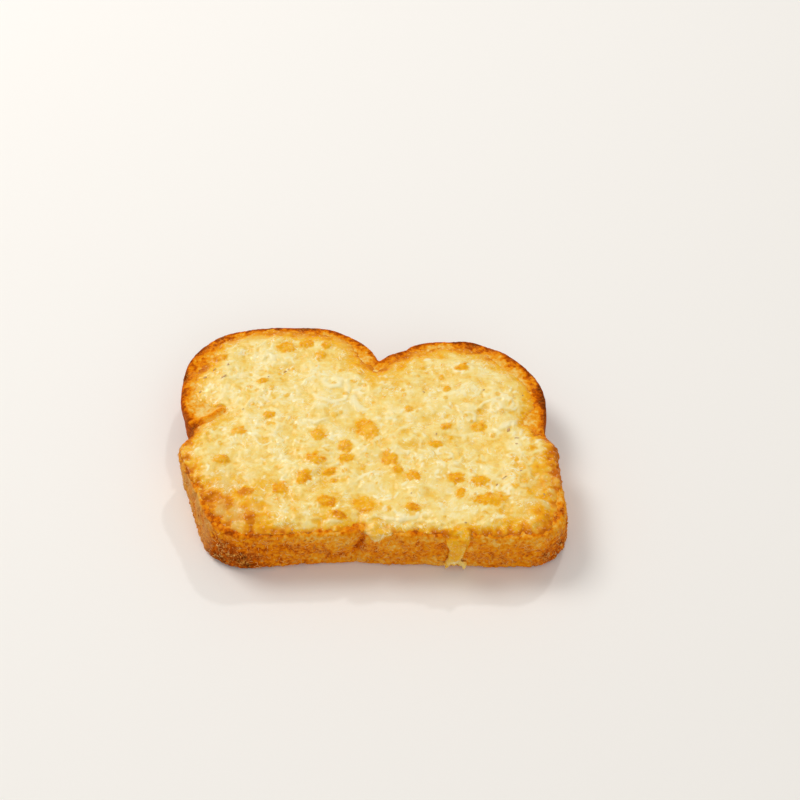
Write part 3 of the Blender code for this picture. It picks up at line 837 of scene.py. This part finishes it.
# %% Close the cheese underneath
HIDDEN_POINT = np.array([0, 0, 8])  # mm, deep in the bread
cage = cage_of(cheese.data)
rim = [edge.link_loops[0] for edge in cage.edges if edge.is_boundary]
middle = cage.verts.new((HIDDEN_POINT + FACE_MIDDLE) * MM)
for loop in rim:
    cage.faces.new((loop.link_loop_next.vert, loop.vert, middle))
cage.to_mesh(cheese.data)
print("open edges closed:", len(rim), "left:", sum(edge.is_boundary for edge in cage.edges))
cage.free()
cheese.data.shade_smooth()
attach(cheese, "root")
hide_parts("melted_cheese")

# %% [markdown]
# ## Flecks, crumbs and fibres
# The garlic butter holds flakes of dried parsley and bits of roasted garlic, which show through the
# cheese as small flecks. Sawing the loaf left crumbs on the crust, and torn crumb stands off it as
# pale fibres. They are separate small solids, because a height map can't make an overhang. Each
# fleck or crumb is an uneven ball, pressed flat and half sunk, and each fibre a thin bent tube. All
# of one kind are one piece.

# %% Helpers for small bits
UNEVEN = (0.75, 1.25)  # how far the points of a bit are drawn in or out


def add_bit(cage, at, normal, size, turn, draw):
    """An uneven solid of that length, width and height in mm, sitting on a surface."""
    normal = normal / np.linalg.norm(normal)
    right = np.cross(normal, (0.0, 1.0, 0.0) if abs(normal[1]) < 0.8 else (1.0, 0.0, 0.0))
    right /= np.linalg.norm(right)
    up = np.cross(normal, right)
    long = math.cos(turn) * right + math.sin(turn) * up
    axes = np.stack([long, np.cross(normal, long), normal]) * np.array(size)[:, None] / 2
    for vertex in bmesh.ops.create_icosphere(cage, subdivisions=2, radius=1)["verts"]:
        grown = np.array(vertex.co) * draw.uniform(*UNEVEN)
        vertex.co = (at + grown @ axes + FACE_MIDDLE) * MM


def finish_bits(cage, name):
    """The bmesh as a piece that rides on the slice."""
    mesh = bpy.data.meshes.new(name)
    cage.to_mesh(mesh)
    cage.free()
    mesh.shade_smooth()
    piece = new_piece(name, mesh)
    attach(piece, "root")
    print(name, "has", len(mesh.polygons), "faces")
    return piece


# %% Parsley and garlic flecks
# (x, y), length and width in mm, turn in degrees
FLECKS = (
    (-47.0, 21.0, 1.6, 0.9, 35), (-46.1, 26.5, 0.9, 0.6, 70), (-50.6, 24.6, 1.1, 0.5, 50),
    (-53.4, 21.7, 1.0, 0.6, 20), (-54.4, 15.6, 1.1, 0.4, 65), (-27.2, 24.3, 1.0, 0.5, 40),
    (-26.2, 25.3, 0.6, 0.4, 0), (-32.4, 21.0, 0.7, 0.4, 30), (-39.6, 7.3, 0.6, 0.4, 30),
    (18.4, 14.7, 0.8, 0.35, -30), (45.1, -1.5, 1.3, 0.8, 60), (50.6, 13.8, 0.6, 0.5, 0),
    (47.4, -5.1, 1.2, 0.35, 5), (47.2, -7.7, 0.7, 0.4, 0), (42.7, -20.8, 1.6, 0.35, 35),
    (40.3, -23.4, 0.7, 0.4, 60), (54.4, -27.1, 0.7, 0.35, -50), (14.2, -27.1, 0.5, 0.4, 0),
    (22.2, -3.3, 0.8, 0.35, 70), (37.9, 15.3, 0.7, 0.5, 20), (30.2, -38.1, 0.6, 0.4, 0),
    (16.2, -39.4, 0.6, 0.35, 40), (47.9, -18.3, 0.6, 0.5, 0), (-21.2, -39.6, 0.7, 0.5, 10),
    (-39.1, -37.1, 0.6, 0.4, 30),
)
FLECK_HEIGHT = 0.3  # mm
FLECK_SCALE = 1.25  # its uneven shape makes a fleck look smaller than its size
cage = cage_of(cheese.data)
cheese_surface = BVHTree.FromBMesh(cage)
cage.free()
draw = np.random.default_rng(11)
cage = bmesh.new()
for x, y, length, width, turn in FLECKS:
    start = Vector((x + FACE_MIDDLE[0], y + FACE_MIDDLE[1], 40)) * MM
    place, normal, _, _ = cheese_surface.ray_cast(start, Vector((0, 0, -1)))
    at = np.array(place) / MM - FACE_MIDDLE
    size = (FLECK_SCALE * length, FLECK_SCALE * width, FLECK_HEIGHT)
    add_bit(cage, at, np.array(normal), size, math.radians(turn), draw)
flecks = finish_bits(cage, "parsley_flecks")

# %% Crumbs on the crust
CRUMBS = 170
CRUMB_SIZE = (0.35, 0.95)  # mm
CRUST_FROM, CRUST_TO = 0.6, 15.4  # mm up the crust
crust_points, crust_normals = points_of(bread.data), normals_of(bread.data)
crust_height = crust_points[:, 2]
torn_wall = wall & (bread_crown < 0.2) & (crust_height > CRUST_FROM) & (crust_height < CRUST_TO)
spots = np.flatnonzero(torn_wall)
cage = bmesh.new()
for spot in draw.choice(spots, CRUMBS):
    length = draw.uniform(*CRUMB_SIZE)
    size = (length, length * draw.uniform(0.6, 1), length * draw.uniform(0.5, 0.8))
    add_bit(cage, crust_points[spot], crust_normals[spot], size, draw.uniform(0, math.pi), draw)
crumbs = finish_bits(cage, "toast_crumbs")

# %% Fibres on the crust
FIBRES = 900
FIBRE_LENGTH, FIBRE_HALF_WIDTH = (0.7, 2.1), (0.06, 0.1)  # mm
FIBRE_LIFT = (0.1, 0.5)  # mm off the crust at the top of the bend
FIBRE_RINGS, FIBRE_SIDES = 5, 4
cage = bmesh.new()
for spot in draw.choice(spots, FIBRES):
    at, normal = crust_points[spot], crust_normals[spot]
    along = np.cross(normal, draw.normal(size=3))
    along /= np.linalg.norm(along)
    aside = np.cross(normal, along) * draw.normal(0, 0.5)
    length, radius = draw.uniform(*FIBRE_LENGTH), draw.uniform(*FIBRE_HALF_WIDTH)
    lift = draw.uniform(*FIBRE_LIFT)
    stations = []
    for share in np.linspace(0, 1, FIBRE_RINGS):
        rise = lift * math.sin(share * 2.6) - 0.1
        place = at + length * (along * (share - 0.5) + aside * (share - 0.5) ** 2) + rise * normal
        place[2] = max(place[2], 0.2)
        stations.append((*place, radius * (1.1 - 0.6 * share)))
    add_tube(cage, stations, FIBRE_RINGS, FIBRE_SIDES)
fibres = finish_bits(cage, "crumb_fibres")

# %% [markdown]
# ## Materials
# Both foods scatter light below their surface, which Blender's Principled shader does with its
# subsurface inputs. Colours are given as the hex values one reads in a paint program, and those hold
# sRGB, so one function turns them linear. One more small function adds a node with its settings and
# links, which keeps each material readable as a list. Both foods also carry fine dried threads,
# thinner than a mesh can hold. They are drawn where a twisted noise passes through its middle value,
# which makes thin curling lines.

# %% Material helpers
def linear(hex_colour):
    """An sRGB hex colour as the linear values that shaders use."""
    parts = [int(hex_colour[k : k + 2], 16) / 255 for k in (1, 3, 5)]
    return tuple(v / 12.92 if v <= 0.04045 else ((v + 0.055) / 1.055) ** 2.4 for v in parts) + (1,)


def add(material, kind, settings=(), **links):
    """Adds a node. Settings are its attributes or inputs. Links join its inputs to sockets, or to
    the first output of a node."""
    node = material.node_tree.nodes.new("ShaderNode" + kind)
    for key, value in dict(settings).items():
        if hasattr(node, str(key)):
            setattr(node, key, value)
        else:
            node.inputs[key].default_value = value
    for key, source in links.items():
        name = int(key[1:]) if key[1:].isdigit() else key.replace("_", " ")
        socket = source.outputs[0] if isinstance(source, bpy.types.Node) else source
        material.node_tree.links.new(socket, node.inputs[name])
    return node


def waves(size):
    """The scale of a noise texture whose waves are that many mm long."""
    return 1 / (size * MM)


def new_material(name):
    material = bpy.data.materials.new(name)
    material.use_nodes = True
    material.node_tree.nodes.clear()
    return material


def set_stops(band, stops):
    """Gives a colour ramp its stops, which are (position, hex)."""
    while len(band.elements) < len(stops):
        band.elements.new(0.5)
    for element, (position, colour) in zip(band.elements, stops):
        element.position = position
        element.color = linear(colour)


def spread(material, noise, width):
    """The noise, whose values lie round a half, brought to lie round zero and made that wide."""
    centred = {"operation": "MULTIPLY_ADD", 1: width, 2: -width / 2}
    return add(material, "Math", centred, _0=noise)


def curling_lines(material, where, noise, widest):
    """1 on thin curling lines and 0 beside them. noise holds the noise texture's settings."""
    curl = add(material, "TexNoise", noise, Vector=where)
    centred = add(material, "Math", {"operation": "SUBTRACT", 1: 0.5}, _0=curl)
    off_line = add(material, "Math", {"operation": "ABSOLUTE"}, _0=centred)
    fade = {"From Min": 0.008, "From Max": widest, "To Min": 1.0, "To Max": 0.0}
    return add(material, "MapRange", fade, Value=off_line)


PRODUCT, LARGER, SUM = ({"operation": kind} for kind in ("MULTIPLY", "MAXIMUM", "ADD"))
COLOUR_MIX = {"data_type": "RGBA", "blend_type": "MIX"}
print("sRGB #808080 in linear values:", round(linear("#808080")[0], 3))

# %% [markdown]
# ### Toasted wheat bread
# The crumb is set starch and gluten, browned by dry heat, with crust where it baked against air and
# tin. It is dry, so nearly matt. Its browning follows the toast number. A fine noise with waves of a
# millimetre, about two cells, breaks it up, and dried fibres catch the light in a paler gold.

# %% Toasted bread material
CELL, BLOTCH = 1.1, 4.4  # mm
BREAD_STOPS = (
    (0.0, "#f6d88c"), (0.22, "#f0bc58"), (0.4, "#f09c14"), (0.54, "#e67e04"),
    (0.72, "#b85000"), (1.0, "#6a2a00"),
)
DUST_AND_SHADE_TAN = "#c8935c"
bread_look = new_material("toasted_wheat_bread")
where = add(bread_look, "TexCoord").outputs["Object"]
toast, tan, torn, fibre = (
    add(bread_look, "Attribute", {"attribute_name": name}).outputs["Fac"]
    for name in ("toast", "tan", "torn", "fibre")
)
cell_noise = {"Scale": waves(CELL), "Detail": 3.0, "Roughness": 0.7}
cells = add(bread_look, "TexNoise", cell_noise, Vector=where)
blotch = add(bread_look, "TexNoise", {"Scale": waves(BLOTCH), "Detail": 3.0}, Vector=where)
fine, wide = spread(bread_look, cells, 0.8), spread(bread_look, blotch, 0.6)
both = add(bread_look, "Math", SUM, _0=fine, _1=wide)
level = add(bread_look, "Math", SUM, _0=toast, _1=both)
browning = add(bread_look, "ValToRGB", Fac=level)
set_stops(browning.color_ramp, BREAD_STOPS)
# the tan is dust on the crown's wall, and painted shade on the left side wall
soft_tan = add(bread_look, "Math", {"operation": "MULTIPLY", 1: 0.6}, _0=tan)
crumb = add(bread_look, "Mix", COLOUR_MIX | {7: linear(DUST_AND_SHADE_TAN)}, _0=soft_tan, _6=browning)
print("bread colours:", len(BREAD_STOPS))

# %% [markdown]
# The dried fibres of torn crumb are a fifth of a millimetre wide, and they lie closer together on some
# patches than on others. The ridges of the mesh take the same pale gold, at a third of its strength.

# %% Fibres on the bread
THREAD = 1.5  # mm
PALE_FIBRE = "#f2ae4c"
thread_noise = {"Scale": waves(THREAD), "Detail": 1.0, "Roughness": 0.4, "Distortion": 1.4}
line = curling_lines(bread_look, where, thread_noise, 0.045)
patchy = {"From Min": 0.46, "From Max": 0.64, "To Min": 0.0, "To Max": 0.9}
here = add(bread_look, "MapRange", patchy, Value=blotch)
threads = add(bread_look, "Math", PRODUCT, _0=line, _1=here)
threads = add(bread_look, "Math", PRODUCT, _0=threads, _1=torn)
crest = add(bread_look, "Math", {"operation": "MULTIPLY", 1: 0.35}, _0=fibre)
gold = add(bread_look, "Math", LARGER, _0=threads, _1=crest)
with_fibres = add(
    bread_look, "Mix", COLOUR_MIX | {7: linear(PALE_FIBRE)}, _0=gold, _6=crumb.outputs[2]
)
print("threads on the bread curl every", THREAD, "mm")

# %% Surface of the bread
bumps = add(bread_look, "Bump", {"Strength": 0.8, "Distance": 0.4 * MM}, Height=cells)
skin = add(
    bread_look, "BsdfPrincipled",
    {
        "Roughness": 0.85, "Specular IOR Level": 0.04, "Subsurface Weight": 0.06,
        "Subsurface Radius": (1.0, 0.6, 0.3), "Subsurface Scale": 0.6 * MM, "IOR": 1.45,
    },
    Base_Color=with_fibres.outputs[2], Normal=bumps,
)
add(bread_look, "OutputMaterial", Surface=skin)
bread.data.materials.clear()
bread.data.materials.append(bread_look)
print("nodes in", bread_look.name + ":", len(bread_look.node_tree.nodes))

# %% [markdown]
# ### Melted cheese
# A mozzarella blend: milk fat and protein, softened and set again. It is milky and lets light in a
# few millimetres, so shadows in it glow yellow. A film of oil on it gives small sharp glints over a
# softer sheen. Browned places are drier, so they are rougher.

# %% Melted cheese material
CURD = 2.4  # mm
CHEESE_STOPS = (
    (0.0, "#f9e7a8"), (0.16, "#f5d574"), (0.3, "#f2be38"), (0.44, "#f4b40a"),
    (0.6, "#ec9a04"), (0.8, "#c86800"), (1.0, "#8e4400"),
)
DRY_CHEESE = "#e2b05c"
cheese_look = new_material("melted_mozzarella_blend")
where = add(cheese_look, "TexCoord").outputs["Object"]
toast, dry, milky = (
    add(cheese_look, "Attribute", {"attribute_name": name}).outputs["Fac"]
    for name in ("toast", "dry", "milky")
)
curd_noise = {"Scale": waves(CURD), "Detail": 5.0, "Roughness": 0.7}
curd = add(cheese_look, "TexNoise", curd_noise, Vector=where)
level = add(cheese_look, "Math", SUM, _0=toast, _1=spread(cheese_look, curd, 0.48))
browning = add(cheese_look, "ValToRGB", Fac=level)
set_stops(browning.color_ramp, CHEESE_STOPS)
skin_colour = add(cheese_look, "Mix", COLOUR_MIX | {7: linear(DRY_CHEESE)}, _0=dry, _6=browning)
print("cheese colours:", len(CHEESE_STOPS))

# %% [markdown]
# Fine threads of curd that lost its fat stay white on the skin; their white also stands in for glints,
# so it is partly painted highlight. The small white specks are painted glints. The threads show only
# on pale cheese and where a second, wider noise is high, so that they gather in loose clusters. Loops
# and shreds of the mesh are whitened too, where they are marked milky, partly as pale curd
# and partly as painted highlight.

# %% Threads and painted glints on the cheese
STRING_CURL, STRING_CLUSTER, SPECK_GLINT = 3.2, 6.0, 0.65  # mm
WHITE_CURD_AND_GLINT = "#fcf2c8"
string_noise = {"Scale": waves(STRING_CURL), "Detail": 2.0, "Roughness": 0.5, "Distortion": 2.0}
# painted highlight: the thin curling lines are whitened partly as curd and partly as painted glints
line = curling_lines(cheese_look, where, string_noise, 0.03)
cluster_noise = {"Scale": waves(STRING_CLUSTER), "Detail": 4.0, "Roughness": 0.75}
cluster = add(cheese_look, "TexNoise", cluster_noise, Vector=where)
clustered = {"From Min": 0.47, "From Max": 0.58, "To Min": 0.0, "To Max": 0.95}
here = add(cheese_look, "MapRange", clustered, Value=cluster)
while_pale = {"From Min": 0.3, "From Max": 0.55, "To Min": 1.0, "To Max": 0.0}
pale_level = add(cheese_look, "MapRange", while_pale, Value=toast)
threads = add(cheese_look, "Math", PRODUCT, _0=line, _1=here)
threads = add(cheese_look, "Math", PRODUCT, _0=threads, _1=pale_level)
soft = add(cheese_look, "Math", {"operation": "MULTIPLY", 1: 0.85}, _0=milky)
white_and_glint = add(cheese_look, "Math", LARGER, _0=threads, _1=soft)
# painted highlight: small white specks standing in for glints
glint_speck_noise = add(cheese_look, "TexNoise", {"Scale": waves(SPECK_GLINT), "Detail": 1.0}, Vector=where)
scattered = {"From Min": 0.61, "From Max": 0.69, "To Min": 0.0, "To Max": 0.26}
glint_specks = add(cheese_look, "MapRange", scattered, Value=glint_speck_noise)
white_and_glint = add(cheese_look, "Math", LARGER, _0=white_and_glint, _1=glint_specks)
with_curd_and_glints = add(
    cheese_look, "Mix", COLOUR_MIX | {7: linear(WHITE_CURD_AND_GLINT)}, _0=white_and_glint, _6=skin_colour.outputs[2]
)
print("threads on the cheese curl every", STRING_CURL, "mm, specks every", SPECK_GLINT, "mm")

# %% [markdown]
# The film of oil is the shader's coat. It has a bump of its own, so that it breaks into beads, each of
# which catches the lamps as a small glint. Browned cheese has lost its oil and is rougher.

# %% Surface of the cheese
GLINT = 1.6  # mm
bumps = add(cheese_look, "Bump", {"Strength": 0.3, "Distance": 0.4 * MM}, Height=curd)
grease_noise = {"Scale": waves(GLINT), "Detail": 2.0, "Roughness": 0.6}
grease = add(cheese_look, "TexNoise", grease_noise, Vector=where)
beads = add(cheese_look, "Bump", {"Strength": 1.0, "Distance": 0.6 * MM}, Height=grease)
oily = add(cheese_look, "Math", {"operation": "MULTIPLY_ADD", 1: 0.65, 2: 0.1}, _0=pale_level)
drying = {"From Min": 0.1, "From Max": 0.8, "To Min": 0.34, "To Max": 0.6}
dryness = add(cheese_look, "MapRange", drying, Value=level)
skin = add(
    cheese_look, "BsdfPrincipled",
    {
        "Specular IOR Level": 0.08, "Subsurface Weight": 0.2,
        "Subsurface Radius": (1.0, 0.75, 0.35), "Subsurface Scale": 0.6 * MM, "IOR": 1.45,
        "Coat Roughness": 0.08,
    },
    Base_Color=with_curd_and_glints.outputs[2], Roughness=dryness, Normal=bumps, Coat_Normal=beads,
    Coat_Weight=oily,
)
add(cheese_look, "OutputMaterial", Surface=skin)
cheese.data.materials.clear()
cheese.data.materials.append(cheese_look)
print("nodes in", cheese_look.name + ":", len(cheese_look.node_tree.nodes))

# %% [markdown]
# ### Dried parsley and dry crumb
# Under its film of cheese, grilled parsley and garlic shows as dull tan to brown. Crumbs and fibres
# are the bread again, drier and thinner, so they are paler. All are matt, because they are too dry
# for a sheen.

# %% Small bits' materials
def matt_food(name, colour, other, size):
    """A dry matt food whose colour varies between two hex values over that many mm."""
    look = new_material(name)
    where = add(look, "TexCoord").outputs["Object"]
    grain = add(look, "TexNoise", {"Scale": waves(size), "Detail": 2.0}, Vector=where)
    varied = add(look, "ValToRGB", Fac=grain)
    set_stops(varied.color_ramp, ((0.4, colour), (0.6, other)))
    matt = {"Roughness": 0.9, "Specular IOR Level": 0.05}
    add(look, "OutputMaterial", Surface=add(look, "BsdfPrincipled", matt, Base_Color=varied))
    return look


flecks.data.materials.append(matt_food("dried_parsley_and_garlic", "#be8a50", "#dcb888", 1.5))
crumbs.data.materials.append(matt_food("dry_bread_crumb", "#c8741c", "#eeb45a", 2.5))
fibres.data.materials.append(matt_food("dry_crumb_fibre", "#dd9a44", "#f6cc80", 3.0))
print("small bits coloured:", len(FLECKS), "flecks", CRUMBS, "crumbs", FIBRES, "fibres")

# %% [markdown]
# ## Floor and light
# A plain pale floor and studio light. One large soft lamp stands high at the back left, so the
# relief of the cheese shows and the front crust lies in half shade. A small one at the back right
# gives the oil its sharp glints. A weak one in front and the bright surroundings fill the shadows,
# as white walls would.

# %% Floor
FLOOR_HALF = 1.5  # m
BOARD_COLOUR = "#f4f2ef"
cage = bmesh.new()
corners = [(-1, -1), (1, -1), (1, 1), (-1, 1)]
cage.faces.new([cage.verts.new((x * FLOOR_HALF, y * FLOOR_HALF, 0)) for x, y in corners])
floor_mesh = bpy.data.meshes.new("floor")
cage.to_mesh(floor_mesh)
cage.free()
floor = new_piece("floor", floor_mesh)
paper = new_material("pale_studio_board")
board = add(paper, "BsdfPrincipled", {"Base Color": linear(BOARD_COLOUR), "Roughness": 0.7})
add(paper, "OutputMaterial", Surface=board)
floor_mesh.materials.append(paper)
print("floor side in m:", 2 * FLOOR_HALF)

# %% Light
def soft_lamp(name, at, size, power, warmth):
    """A square area lamp aimed at the slice. at is in metres, warmth a hex colour."""
    light = bpy.data.lights.new(name, "AREA")
    light.energy = power
    light.size = size
    light.color = linear(warmth)[:3]
    lamp = bpy.data.objects.new(name, light)
    bpy.context.scene.collection.objects.link(lamp)
    lamp.location = at
    lamp.rotation_euler = (-Vector(at)).to_track_quat("-Z", "Y").to_euler()


# name, place and side in metres, power in watts, colour
LAMPS = (
    ("key", (-0.75, 0.55, 1.1), 0.6, 9.7, "#fffcf8"),
    ("small_key", (0.35, 0.9, 1.1), 0.08, 2.6, "#ffffff"),
    ("front_fill", (0.5, -1.2, 0.7), 1.0, 3, "#ffffff"),
)
for lamp_values in LAMPS:
    soft_lamp(*lamp_values)
print("lamps:", [name for name, *_ in LAMPS])

# %% Surroundings
ROOM_COLOUR, ROOM_STRENGTH = (1, 0.975, 0.93, 1), 0.5
world = bpy.data.worlds.new("bright_room")
bpy.context.scene.world = world
world.use_nodes = True
background = world.node_tree.nodes["Background"]
background.inputs["Color"].default_value = ROOM_COLOUR
background.inputs["Strength"].default_value = ROOM_STRENGTH
bpy.context.scene.view_settings.view_transform = "Standard"
print("surroundings at strength", ROOM_STRENGTH)
